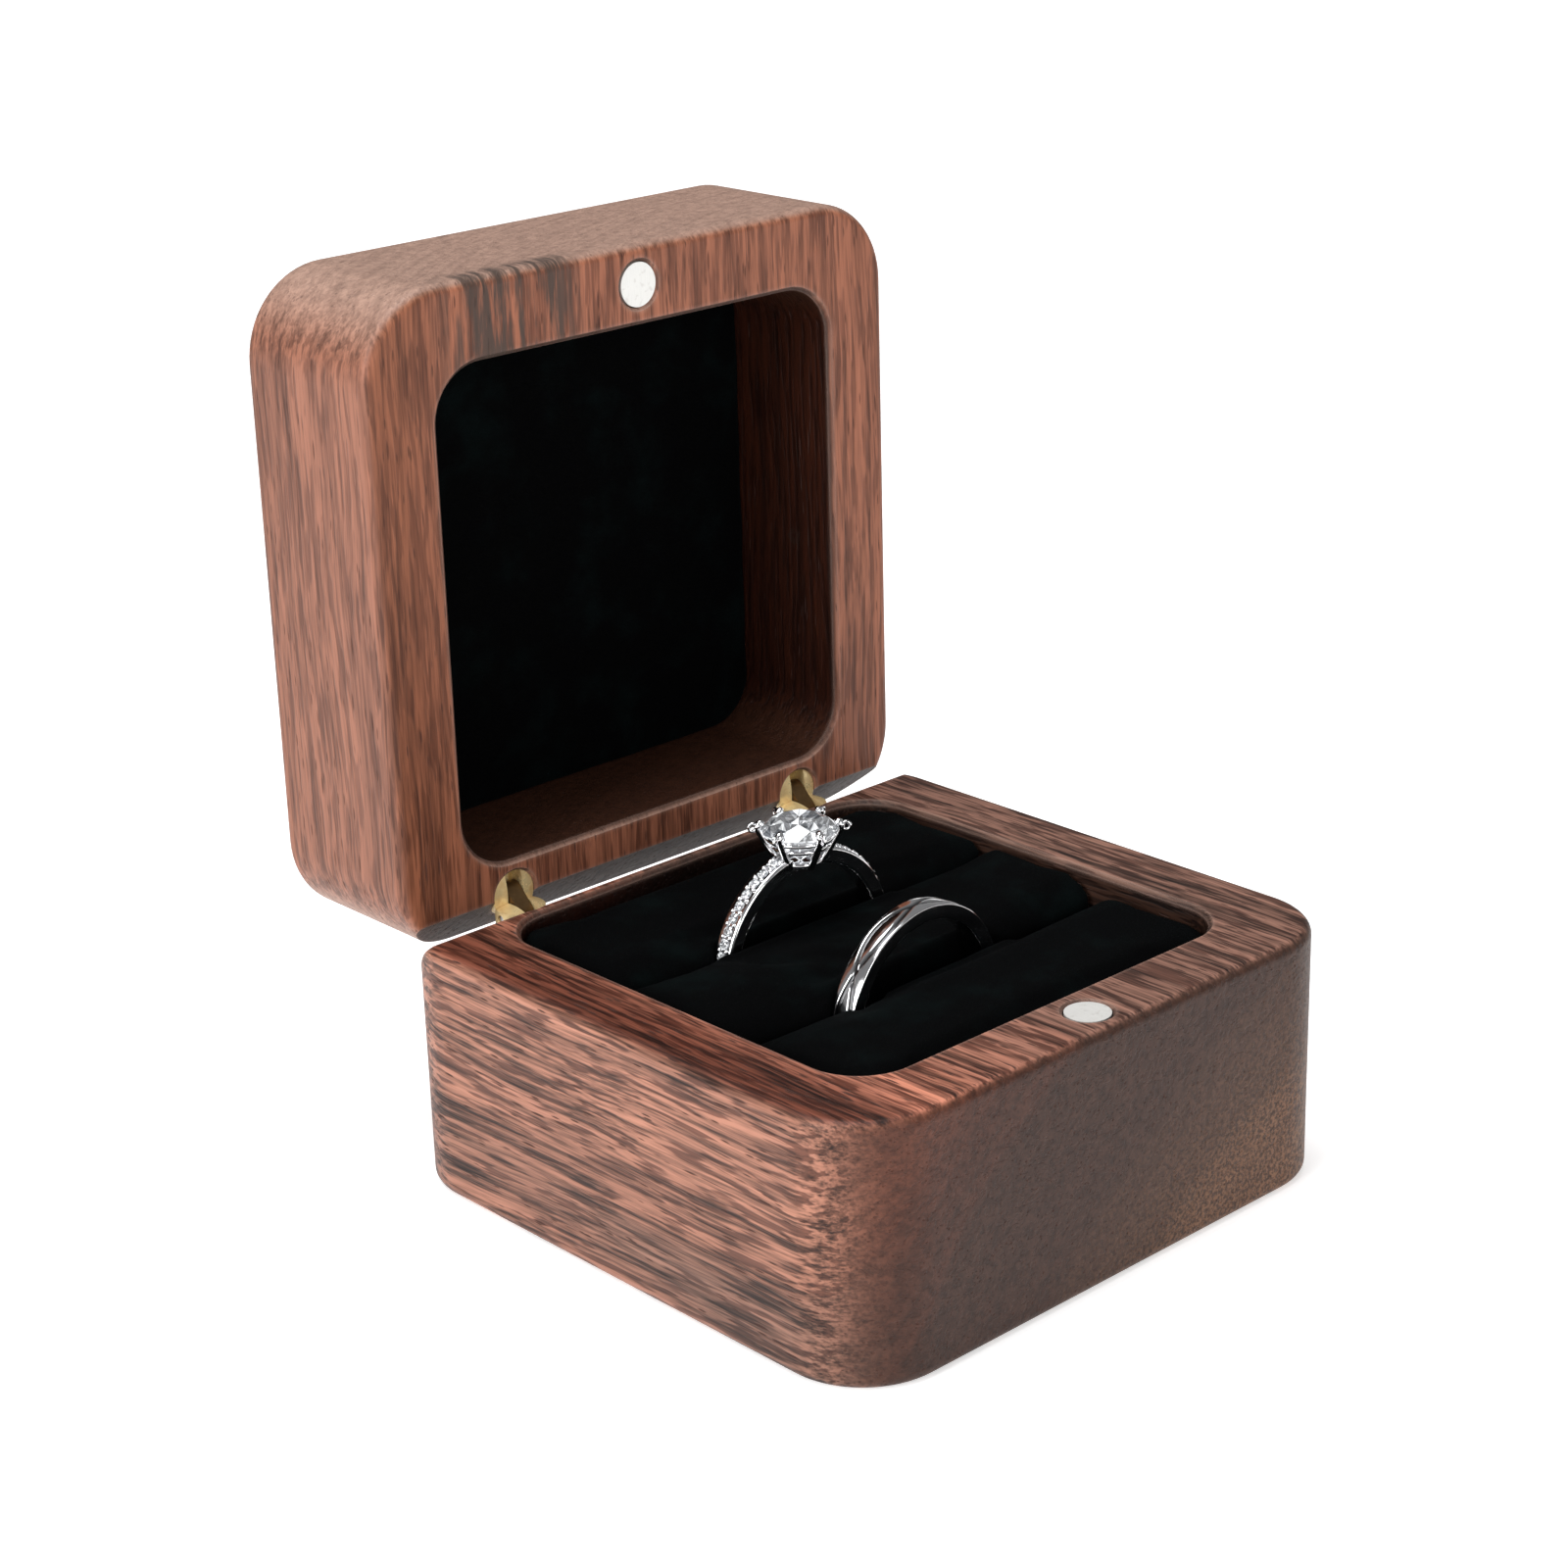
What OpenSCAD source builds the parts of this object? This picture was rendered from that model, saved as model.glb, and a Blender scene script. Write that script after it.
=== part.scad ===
// Walnut ring box with a magnetic lid on two barrel hinges, a slotted velvet cushion,
// a solitaire ring and a wedding band. Drawn open at 90 degrees. Units are millimetres.
// Origin: centre of the base's underside. +Z up, front towards -Y, hinges at +Y.

/* [Box] */
// width across the front
box_w = 60; // [48:0.5:90]
// depth from front to rear
box_d = 60; // [48:0.5:90]
// height of the base up to its rim
base_h = 23.6; // [18:0.1:36]
// height of the lid from its rim to its top
lid_h = 17.4; // [14:0.1:30]
// wall between outside and cavity
wall = 7.2; // [5:0.1:10]
// radius of the outer upright corners
corner_r = 8; // [4:0.1:12]
// radius of the cavity's upright corners
cavity_r = 5; // [2:0.1:8]
// rounding of the long outer edges
edge_r = 1; // [0.4:0.1:2]
// eased edge around each cavity mouth
arris = 0.4; // [0.2:0.1:1]
// thickness of the base under its cavity
base_floor = 3.6; // [2:0.1:6]
// thickness of the lid above its cavity
lid_top = 3.8; // [2:0.1:6]
// rear bevel of the base
base_bevel = 6.2; // [3:0.1:7]
// rear bevel of the lid
lid_bevel = 3.8; // [2:0.1:6]

/* [Hinges] */
// distance between the two hinges
hinge_span = 35; // [20:0.5:44]
// barrel axis in from the rear face
hinge_setback = 3.8; // [3:0.1:4.5]
// barrel diameter
barrel_d = 4.6; // [4:0.1:6]
// barrel length
barrel_l = 9; // [7:0.5:12]
// rise of the domed barrel end
dome_h = 0.4; // [0.1:0.05:0.8]
// depth of each cross pin below the rim
pin_depth = 1.1; // [0.9:0.05:1.4]
// cross pin diameter
pin_d = 0.8; // [0.6:0.05:1]
// link thickness
link_t = 1.6; // [1:0.1:2]
// radius of the link's round ends
link_r = 0.95; // [0.8:0.05:1.1]

/* [Magnets] */
// magnet diameter
magnet_d = 4; // [3:0.1:5]
// magnet thickness
magnet_h = 2.5; // [1.5:0.1:4]
// how far a magnet sits below its rim
magnet_sink = 0.1; // [0.05:0.05:0.4]

/* [Cushion] */
// board under the cushion
card_t = 1.2; // [0.6:0.1:2]
// middle and rear rolls below the rim
rear_drop = 0.7; // [0.4:0.1:2]
// front roll below the rim
front_drop = 1.3; // [0.6:0.1:3]
// velvet lining on the lid's floor
lining_t = 0.6; // [0.3:0.1:1.5]
// rounding of a roll beside the rear slot
slot_round = 1.5; // [0.8:0.1:3]
// rounding of a roll beside the front slot
valley_round = 3; // [1:0.1:4]

/* [Rings] */
// inside diameter of both rings
bore_d = 17; // [15:0.1:19]
// thickness of both rings
shank_t = 1.5; // [1.2:0.05:2]
// width of the solitaire's shank
shank_w = 2; // [1.6:0.1:3]
// width of the wedding band
band_w = 2.4; // [2:0.1:4]
// solitaire to the right of the centre
solitaire_x = -1.2; // [-4:0.1:4]
// solitaire behind the centre
solitaire_y = 6.6; // [4:0.1:9]
// lowest point of the solitaire above the card
solitaire_seat = 4.5; // [1:0.1:6]
// band to the right of the centre
band_x = -0.6; // [-4:0.1:4]
// band behind the centre
band_y = -7; // [-9:0.1:-5]
// lowest point of the band above the card
band_seat = 2.9; // [1:0.1:6]
// turn of the band about the upright axis
band_turn = 4; // [0:0.5:8]

/* [Solitaire head] */
// centre stone diameter
stone_d = 6.8; // [5:0.1:8]
// stone girdle above the shank's outside
stone_rise = 1.8; // [1.4:0.1:3]
// claw diameter
claw_d = 0.84; // [0.6:0.02:1]
// turn of the claws about the upright axis
claw_turn = 17; // [0:1:59]
// small stone diameter
pave_d = 1; // [0.7:0.05:1.3]

/* [Hidden] */
$fn = 72;

// clearances
close_gap = 0.04;       // between the two rims when shut
run_gap = 0.05;         // link bore around a pin, on the radius
side_gap = 0.1;         // link in its slot, each side
magnet_gap = 0.12;      // magnet in its hole, on the radius
soft_gap = 0.2;         // cushion to wood and roll to roll
ring_gap = 0.25;        // ring in its slot
stop_gap = 0.02;        // barrel to barrel when fully open
rim_chamfer = 0.25;     // eased mouth of hinge and magnet holes
over = 1;               // how far a cutter runs past a face

// box
cavity_w = box_w - 2 * wall;
cavity_d = box_d - 2 * wall;
rear_y = box_d / 2;
lid_cavity_h = lid_h - lid_top;

// hinges: the link leans back half of the 90 degree opening
half_open = 45;
link_l = 2 * pin_depth + close_gap;
lid_shift = link_l * sin(half_open) - hinge_setback - pin_depth;
stop_y = (2 * hinge_setback + 2 * lid_shift - stop_gap) / 2;
hinge_y = rear_y - hinge_setback;
barrel_r = barrel_d / 2;
dome_r = (barrel_r * barrel_r + dome_h * dome_h) / (2 * dome_h);
slot_w = link_t + 2 * side_gap;
slot_depth = pin_depth + link_r + 3 * run_gap;
pin_l = barrel_d - 0.4;

// magnets
magnet_y = -(box_d - wall) / 2;

// cushion
card_z = base_floor + card_t;
soft_w = cavity_w - 2 * soft_gap;
soft_d = cavity_d - 2 * soft_gap;
soft_r = cavity_r - soft_gap;
end_round = 1.5;

// rings, each drawn about its own centre with the axis along Y
ring_r = bore_d / 2 + shank_t;
solitaire_z = card_z + solitaire_seat + ring_r;
band_z = card_z + band_seat + ring_r;
shank_round = 0.3;
band_round = 0.5;

// centre stone
stone_r = stone_d / 2;
girdle_z = ring_r + stone_rise;
girdle_t = 0.15;
table_r = 0.58 * stone_r;
crown_h = 0.31 * stone_r;
pavilion_h = 0.86 * stone_r;
culet_r = 0.08;

// head
claws = 6;
claw_r = claw_d / 2;
tip_r = 0.5;
base_ring_r = 2;
base_ring_t = 0.5;
base_ring_z = bore_d / 2 + 0.4;
base_ring_h = ring_r - base_ring_z;
flat_z = ring_r - 0.4;
flat_r = base_ring_r + 1;
claw_foot = [base_ring_r + 0.15, ring_r - 0.1];
claw_tip = [stone_r + 0.35, girdle_z + 0.9];
gallery_z = ring_r + 0.6;
gallery_tube = 0.33;
claw_lean = (claw_tip[0] - claw_foot[0]) / (claw_tip[1] - claw_foot[1]);
gallery_r = claw_foot[0] + claw_lean * (gallery_z - claw_foot[1]);

// small stones, counted from the head down each shoulder
pave_count = 9;
pave_start = 20;
pave_step = 6.9;
pave_sink = 0.05;

// band grooves
groove_r = 0.24;
groove_turn = 4.5;

walnut = [0.40, 0.25, 0.18];
brass = [0.80, 0.62, 0.30];
nickel = [0.80, 0.80, 0.80];
velvet = [0.03, 0.03, 0.04];
board = [0.30, 0.28, 0.26];
white_gold = [0.90, 0.90, 0.92];
diamond = [0.95, 0.97, 1.00];

// ---- outlines -------------------------------------------------------------

// half section of a block: flat inside, rounded at both outer edges
module block_profile(reach, h) {
    square([reach - edge_r, h]);
    translate([0, edge_r]) square([reach, h - 2 * edge_r]);
    for (z = [edge_r, h - edge_r]) translate([reach - edge_r, z]) circle(edge_r);
}

// half section of a cavity: its mouth at height 0 flares by the eased edge
module pocket_profile(reach, depth) {
    polygon([
        [0, -depth], [reach, -depth], [reach, -arris],
        [reach + arris + over, over], [0, over]
    ]);
}

module section(reach, h, pocket) {
    if (pocket) pocket_profile(reach, h);
    else block_profile(reach, h);
}

// round-cornered solid from one half section, as a middle, two sides and four corners
module sweep_round(w, d, r, h, pocket = false) {
    rotate([90, 0, 90]) linear_extrude(w - 2 * r, center = true)
        for (side = [0, 1]) mirror([side, 0]) section(d / 2, h, pocket);
    for (side = [0, 1]) mirror([side, 0, 0]) {
        translate([w / 2 - r, 0, 0]) rotate([90, 0, 0])
            linear_extrude(d - 2 * r, center = true) section(r, h, pocket);
        for (end = [0, 1]) mirror([0, end, 0])
            translate([w / 2 - r, d / 2 - r, 0])
                rotate_extrude(angle = 90) section(r, h, pocket);
    }
}

module round_plate(w, d, r, t) {
    linear_extrude(t) {
        square([w, d - 2 * r], center = true);
        square([w - 2 * r, d], center = true);
        for (x = [-1, 1], y = [-1, 1])
            translate([x * (w / 2 - r), y * (d / 2 - r)]) circle(r);
    }
}

// cross section of a ring's metal, from bore to outside
module ring_profile(w, r) {
    translate([bore_d / 2, -w / 2 + r]) square([shank_t, w - 2 * r]);
    translate([bore_d / 2 + r, -w / 2]) square([shank_t - 2 * r, w]);
    for (x = [bore_d / 2 + r, ring_r - r], y = [r - w / 2, w / 2 - r])
        translate([x, y]) circle(r);
}

// ---- placing --------------------------------------------------------------

// lid pieces are drawn shut, rim at height 0, then stood up open behind the base
module on_lid() {
    translate([0, rear_y + lid_shift, base_h + lid_shift])
        rotate([-2 * half_open, 0, 0])
            translate([0, -rear_y, 0])
                children();
}

module at_hinge(side) {
    translate([side * hinge_span / 2, hinge_y, 0]) children();
}

module at_solitaire() {
    translate([solitaire_x, solitaire_y, solitaire_z]) children();
}

module at_band() {
    translate([band_x, band_y, band_z]) rotate(band_turn) children();
}

// ---- wood -----------------------------------------------------------------

// 45 degree cut off a rear edge whose rim is at height 0, material below
module rear_bevel(size) {
    rotate([90, 0, 90]) linear_extrude(box_w + 2 * over, center = true)
        polygon([
            [rear_y - size - over, over],
            [rear_y + over, -size - over],
            [rear_y + over, over]
        ]);
}

// blind hole from a rim at height 0 downwards, with an eased mouth
module rim_hole(r, depth) {
    translate([0, 0, -depth]) cylinder(r = r, h = depth + over);
    translate([0, 0, -rim_chamfer])
        cylinder(r1 = r, r2 = r + rim_chamfer + over, h = rim_chamfer + over);
}

// everything cut into a rim at height 0, material below
module rim_cuts(depth, bevel) {
    sweep_round(cavity_w, cavity_d, cavity_r, depth, true);
    rear_bevel(bevel);
    for (side = [-1, 1]) at_hinge(side) rim_hole(barrel_r, barrel_l);
    translate([0, magnet_y, 0]) rim_hole(magnet_d / 2 + magnet_gap, magnet_sink + magnet_h);
}

module base_block() {
    color(walnut) difference() {
        sweep_round(box_w, box_d, corner_r, base_h);
        translate([0, 0, base_h]) rim_cuts(base_h - base_floor, base_bevel);
    }
}

module lid_block() {
    color(walnut) on_lid() difference() {
        sweep_round(box_w, box_d, corner_r, lid_h);
        mirror([0, 0, 1]) rim_cuts(lid_cavity_h, lid_bevel);
    }
}

// ---- magnets --------------------------------------------------------------

// disc below a rim at height 0
module magnet() {
    color(nickel) translate([0, magnet_y, -magnet_sink - magnet_h])
        cylinder(d = magnet_d, h = magnet_h);
}

module base_magnet() {
    translate([0, 0, base_h]) magnet();
}

module lid_magnet() {
    on_lid() mirror([0, 0, 1]) magnet();
}

// ---- hinges ---------------------------------------------------------------

// one barrel, end at height 0, body below, rear towards +Y
module barrel() {
    color(brass) difference() {
        intersection() {
            translate([0, 0, -barrel_l]) cylinder(r = barrel_r, h = barrel_l);
            union() {
                translate([0, 0, -dome_r]) sphere(dome_r);
                translate([0, 0, -barrel_l]) cylinder(r = barrel_d, h = barrel_l - dome_r);
            }
        }
        translate([-slot_w / 2, -barrel_d, -slot_depth])
            cube([slot_w, 2 * barrel_d, slot_depth + over]);
        rotate([90, 0, 90]) linear_extrude(2 * barrel_d, center = true)
            polygon([
                [stop_y - over, over],
                [stop_y + barrel_d, -barrel_d],
                [stop_y + barrel_d, over]
            ]);
        pin_rod(pin_d / 2, 2 * barrel_d);
    }
}

module pin_rod(r, l) {
    translate([0, 0, -pin_depth]) rotate([0, 90, 0]) cylinder(r = r, h = l, center = true);
}

module pin() {
    color(nickel) pin_rod(pin_d / 2, pin_l);
}

// leaf from the base pin up to the lid pin
module link(side) {
    color(brass) at_hinge(side) translate([0, 0, base_h - pin_depth])
        rotate([-half_open, 0, 0]) difference() {
            union() {
                translate([-link_t / 2, -link_r, 0]) cube([link_t, 2 * link_r, link_l]);
                for (z = [0, link_l]) translate([-link_t / 2, 0, z])
                    rotate([0, 90, 0]) cylinder(r = link_r, h = link_t);
            }
            for (z = [0, link_l]) translate([0, 0, z]) rotate([0, 90, 0])
                cylinder(r = pin_d / 2 + run_gap, h = 2 * link_t, center = true);
        }
}

module on_base_hinge(side) {
    translate([0, 0, base_h]) at_hinge(side) children();
}

module on_lid_hinge(side) {
    on_lid() mirror([0, 0, 1]) at_hinge(side) children();
}

module base_barrel_left() on_base_hinge(-1) barrel();
module base_barrel_right() on_base_hinge(1) barrel();
module base_pin_left() on_base_hinge(-1) pin();
module base_pin_right() on_base_hinge(1) pin();
module lid_barrel_left() on_lid_hinge(-1) barrel();
module lid_barrel_right() on_lid_hinge(1) barrel();
module lid_pin_left() on_lid_hinge(-1) pin();
module lid_pin_right() on_lid_hinge(1) pin();
module link_left() link(-1);
module link_right() link(1);

// ---- cushion and lining ---------------------------------------------------

module insert_card() {
    color(board) translate([0, 0, base_floor]) round_plate(soft_w, soft_d, soft_r, card_t);
}

// upright section of a roll from y0 to y1, with its own rounding at each top edge
module roll_profile(y0, y1, top, r0, r1) {
    h = top - card_z;
    low = max(r0, r1);
    translate([y0, card_z]) square([y1 - y0, h - low]);
    translate([y0 + r0, card_z]) square([y1 - y0 - r0 - r1, h]);
    translate([y0, card_z]) square([r0, h - r0]);
    translate([y1 - r1, card_z]) square([r1, h - r1]);
    translate([y0 + r0, top - r0]) circle(r0);
    translate([y1 - r1, top - r1]) circle(r1);
}

// round at the bottom and open upwards, so a ring lifts straight out
module ring_slot(w) {
    reach = ring_r + ring_gap;
    rotate([90, 0, 0]) linear_extrude(w + 2 * ring_gap, center = true) {
        circle(reach);
        translate([-reach, 0]) square([2 * reach, base_h]);
    }
}

module ring_slots() {
    at_solitaire() ring_slot(shank_w);
    at_band() ring_slot(band_w);
}

module roll(y0, y1, top, r0, r1) {
    color(velvet) difference() {
        intersection() {
            round_plate(soft_w, soft_d, soft_r, base_h);
            rotate([90, 0, 90]) linear_extrude(cavity_w, center = true)
                roll_profile(y0, y1, top, r0, r1);
        }
        ring_slots();
    }
}

module cushion_front() {
    roll(-soft_d / 2, band_y - soft_gap / 2, base_h - front_drop, end_round, valley_round);
}

module cushion_middle() {
    roll(band_y + soft_gap / 2, solitaire_y - soft_gap / 2, base_h - rear_drop,
        valley_round, slot_round);
}

module cushion_rear() {
    roll(solitaire_y + soft_gap / 2, soft_d / 2, base_h - rear_drop, slot_round, end_round);
}

module lid_lining() {
    color(velvet) on_lid() translate([0, 0, lid_cavity_h - lining_t])
        round_plate(soft_w, soft_d, soft_r, lining_t);
}

// ---- rings ----------------------------------------------------------------

// round brilliant: crown, girdle and pavilion, girdle at height z
module brilliant(r, table, crown, belt, pavilion) {
    translate([0, 0, belt]) cylinder(r1 = r, r2 = table, h = crown);
    cylinder(r = r, h = belt);
    translate([0, 0, -pavilion]) cylinder(r1 = culet_r, r2 = r, h = pavilion);
}

module centre_brilliant() {
    translate([0, 0, girdle_z]) brilliant(stone_r, table_r, crown_h, girdle_t, pavilion_h);
}

// children at each small stone's place, its girdle at height 0, outwards up
module at_pave() {
    for (side = [-1, 1], i = [0:pave_count - 1])
        rotate([0, side * (pave_start + i * pave_step), 0])
            translate([0, 0, ring_r - pave_sink])
                children();
}

module small_brilliants() {
    at_pave() brilliant(pave_d / 2, 0.3 * pave_d, 0.16 * pave_d, pave_sink, 0.45 * pave_d);
}

// drilled seats that grip each small stone by its girdle
module pave_seats() {
    at_pave() translate([0, 0, -0.5 * pave_d]) cylinder(d = pave_d, h = shank_t);
}

module claw(turn) {
    run = norm(claw_tip - claw_foot);
    rotate(turn) translate([claw_foot[0], 0, claw_foot[1]]) rotate([0, atan(claw_lean), 0]) {
        cylinder(r = claw_r, h = run);
        translate([0, 0, run - tip_r]) cylinder(r1 = claw_r, r2 = tip_r, h = tip_r / 2);
        translate([0, 0, run - tip_r / 2]) cylinder(r = tip_r, h = 0.7 * tip_r);
        translate([0, 0, run + 0.2 * tip_r]) cylinder(r1 = tip_r, r2 = tip_r / 2, h = 0.6 * tip_r);
    }
}

module solitaire_shank() {
    color(white_gold) at_solitaire() difference() {
        rotate([90, 0, 0]) rotate_extrude() ring_profile(shank_w, shank_round);
        translate([0, 0, base_ring_z]) cylinder(r = base_ring_r, h = shank_t + over);
        translate([0, 0, flat_z]) cylinder(r = flat_r, h = shank_t + over);
        pave_seats();
    }
}

module solitaire_head() {
    color(white_gold) at_solitaire() difference() {
        union() {
            translate([0, 0, base_ring_z]) cylinder(r = base_ring_r, h = base_ring_h);
            for (i = [0:claws - 1]) claw(claw_turn + i * 360 / claws);
            translate([0, 0, gallery_z]) rotate_extrude()
                translate([gallery_r, 0]) circle(gallery_tube);
        }
        translate([0, 0, base_ring_z - over])
            cylinder(r = base_ring_r - base_ring_t, h = base_ring_h + over + claw_r);
        centre_brilliant();
    }
}

module centre_stone() {
    color(diamond) at_solitaire() centre_brilliant();
}

module pave_stones() {
    color(diamond) at_solitaire() small_brilliants();
}

module wedding_band() {
    color(white_gold) at_band() difference() {
        rotate([90, 0, 0]) rotate_extrude() ring_profile(band_w, band_round);
        for (turn = [-groove_turn, groove_turn]) rotate(turn) rotate([90, 0, 0])
            rotate_extrude() translate([ring_r + groove_r / 2, 0]) circle(groove_r);
    }
}

base_block();
base_magnet();
base_barrel_left();
base_barrel_right();
base_pin_left();
base_pin_right();
insert_card();
cushion_front();
cushion_middle();
cushion_rear();
link_left();
link_right();
lid_block();
lid_magnet();
lid_barrel_left();
lid_barrel_right();
lid_pin_left();
lid_pin_right();
lid_lining();
solitaire_shank();
solitaire_head();
centre_stone();
pave_stones();
wedding_band();
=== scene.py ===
import bmesh
import bpy
import numpy as np
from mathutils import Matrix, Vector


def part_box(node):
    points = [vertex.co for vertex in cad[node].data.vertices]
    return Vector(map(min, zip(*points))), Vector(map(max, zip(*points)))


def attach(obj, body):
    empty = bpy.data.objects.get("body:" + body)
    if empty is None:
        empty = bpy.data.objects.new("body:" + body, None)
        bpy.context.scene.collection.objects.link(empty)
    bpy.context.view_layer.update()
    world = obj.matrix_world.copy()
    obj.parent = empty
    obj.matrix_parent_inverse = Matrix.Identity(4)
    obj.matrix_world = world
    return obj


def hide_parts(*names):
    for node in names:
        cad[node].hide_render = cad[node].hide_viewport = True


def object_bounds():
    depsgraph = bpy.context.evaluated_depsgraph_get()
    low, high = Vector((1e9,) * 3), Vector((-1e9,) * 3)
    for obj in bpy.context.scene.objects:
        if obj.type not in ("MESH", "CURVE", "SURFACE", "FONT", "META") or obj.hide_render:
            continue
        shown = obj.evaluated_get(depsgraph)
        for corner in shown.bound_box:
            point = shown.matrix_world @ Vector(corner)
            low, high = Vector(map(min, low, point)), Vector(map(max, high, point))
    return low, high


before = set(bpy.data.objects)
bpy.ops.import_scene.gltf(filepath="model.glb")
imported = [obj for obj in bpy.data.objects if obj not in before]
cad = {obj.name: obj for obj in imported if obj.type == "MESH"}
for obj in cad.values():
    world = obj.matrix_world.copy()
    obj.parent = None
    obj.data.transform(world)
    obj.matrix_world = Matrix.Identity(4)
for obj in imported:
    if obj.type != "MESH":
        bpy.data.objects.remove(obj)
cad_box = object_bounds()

scene = bpy.context.scene


# ---- table, daylight and camera -------------------------------------------
# The open box stands on a white table under a soft window light from the left,
# seen from the front left and a little above.

camera_data = bpy.data.cameras.new("camera")
camera_data.lens = 75.794
camera_data.sensor_width = 36
camera_data.clip_start = 0.01
camera = bpy.data.objects.new("camera", camera_data)
camera.location = (-0.185244, -0.191965, 0.137583)
camera.rotation_euler = np.radians((69.3182, 1.5246, -43.1388))
scene.collection.objects.link(camera)
scene.camera = camera
scene.view_settings.view_transform = "Standard"


def put(tree, kind, values=None, **settings):
    """Adds one shader node; values go to its inputs, and a socket among them is linked."""
    made = tree.nodes.new("ShaderNode" + kind)
    for name, value in settings.items():
        setattr(made, name, value)
    for name, value in (values or {}).items():
        if isinstance(value, bpy.types.NodeSocket):
            tree.links.new(value, made.inputs[name])
        else:
            made.inputs[name].default_value = value
    return made


def span(tree, value, low, high, start=0.0, end=1.0):
    """Value carried smoothly from low..high to start..end, and held outside it."""
    return put(
        tree, "MapRange",
        {"Value": value, "From Min": low, "From Max": high, "To Min": start, "To Max": end},
        interpolation_type="SMOOTHSTEP",
    ).outputs[0]


def mix(tree, share, first, second, blend="MIX"):
    """Two colours mixed by a share, as a colour socket."""
    made = put(tree, "Mix", data_type="RGBA", blend_type=blend)
    for place, value in ((0, share), (6, first), (7, second)):
        if isinstance(value, bpy.types.NodeSocket):
            tree.links.new(value, made.inputs[place])
        else:
            made.inputs[place].default_value = value
    return made.outputs[2]


def noise(tree, place, scale, detail=2.0, roughness=0.5):
    """Fractal noise from 0 to 1 at a place."""
    return put(
        tree, "TexNoise",
        {"Vector": place, "Scale": scale, "Detail": detail, "Roughness": roughness},
    ).outputs["Fac"]


def new_material(name):
    """An empty node material, its tree, its Principled node and object place in millimetres."""
    made = bpy.data.materials.new(name)
    made.use_nodes = True
    tree = made.node_tree
    where = put(tree, "TexCoord")
    place = put(tree, "Mapping", {"Vector": where.outputs["Object"], "Scale": (1000, 1000, 1000)})
    return made, tree, tree.nodes["Principled BSDF"], place.outputs[0], where.outputs["Normal"]


def finish_with(material, *pieces):
    """Puts one material on pieces in place of what they have."""
    for piece in pieces:
        piece.data.materials.clear()
        piece.data.materials.append(material)


def new_piece(name, points, faces, smooth=True):
    """A mesh piece from point and face arrays."""
    mesh = bpy.data.meshes.new(name)
    mesh.from_pydata(np.asarray(points).tolist(), [], np.asarray(faces).tolist())
    mesh.polygons.foreach_set("use_smooth", np.full(len(mesh.polygons), smooth))
    mesh.update()
    made = bpy.data.objects.new(name, mesh)
    scene.collection.objects.link(made)
    return made


table_reach = 3.0
corners = np.array([(-1, -1), (1, -1), (1, 1), (-1, 1)]) * table_reach
table = new_piece("table", np.c_[corners, np.full(4, cad_box[0][2])], [(0, 1, 2, 3)], smooth=False)
white_table, tree, shader, place, _ = new_material("white table")
tone = mix(tree, noise(tree, place, 0.02), (0.92, 0.92, 0.92, 1), (0.96, 0.96, 0.96, 1))
tree.links.new(tone, shader.inputs["Base Color"])
shader.inputs["Roughness"].default_value = 0.9
shader.inputs["Specular IOR Level"].default_value = 0.1
off = put(tree, "VectorMath", {0: place}, operation="LENGTH").outputs["Value"]
lit = mix(tree, span(tree, off, 250.0, 900.0), (1.0, 1.0, 1.0, 1), (1.5, 1.5, 1.5, 1))
tree.links.new(lit, shader.inputs["Emission Color"])
shader.inputs["Emission Strength"].default_value = 0.50
finish_with(white_table, table)

world = bpy.data.worlds.new("daylight")
scene.world = world
world.use_nodes = True
sky = world.node_tree.nodes["Background"]
seen = put(world.node_tree, "LightPath").outputs["Is Camera Ray"]
world.node_tree.links.new(span(world.node_tree, seen, 0, 1, 0.20, 1.0), sky.inputs["Strength"])
sky.inputs["Color"].default_value = (1, 1, 1, 1)


def soft_light(name, spot, size, power, aim=(0, 0, 0.03)):
    """A square lamp of that size in metres, turned towards the box."""
    data = bpy.data.lights.new(name, "AREA")
    data.size = size
    data.energy = power
    lamp = bpy.data.objects.new(name, data)
    lamp.location = spot
    toward = np.array(aim) - np.array(spot)
    flat = np.hypot(toward[0], toward[1])
    lamp.rotation_euler = (np.arctan2(flat, -toward[2]), 0, np.arctan2(-toward[0], toward[1]))
    scene.collection.objects.link(lamp)


soft_light("window", (-0.78, 0.00, 0.36), 0.45, 5.0)
soft_light("ceiling", (-0.10, 0.10, 0.90), 0.5, 6.0)
soft_light("reflector", (-0.10, -0.80, 0.30), 0.4, 2.2)


# ---- base block -----------------------------------------------------------
# One piece of walnut, hollowed and rounded by a cutter, its grain running from front
# to rear. Sanded and oiled: satin faces, open pores, a darker rim; pale painted highlights
# along the edges, and painted shade in the chamfers and on the hollow's walls.


def math(tree, operation, *values, clamp=False):
    """One Math node over up to three values or sockets; gives its output."""
    made = put(tree, "Math", dict(enumerate(values)), operation=operation, use_clamp=clamp)
    return made.outputs[0]


def ramp(tree, value, stops):
    """A colour ramp with the given (place, colour) stops."""
    made = put(tree, "ValToRGB", {"Fac": value})
    points = made.color_ramp.elements
    while len(points) < len(stops):
        points.new(1)
    for point, (place, colour) in zip(points, stops):
        point.position = place
        point.color = (*colour, 1)
    return made.outputs["Color"]


def new_group(name, inputs, outputs):
    """A shader node group with those named sockets, and its two end nodes."""
    tree = bpy.data.node_groups.new(name, "ShaderNodeTree")
    for socket, kind in inputs:
        tree.interface.new_socket(socket, in_out="INPUT", socket_type="NodeSocket" + kind)
    for socket, kind in outputs:
        tree.interface.new_socket(socket, in_out="OUTPUT", socket_type="NodeSocket" + kind)
    return tree, tree.nodes.new("NodeGroupInput").outputs, tree.nodes.new("NodeGroupOutput").inputs


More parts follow.
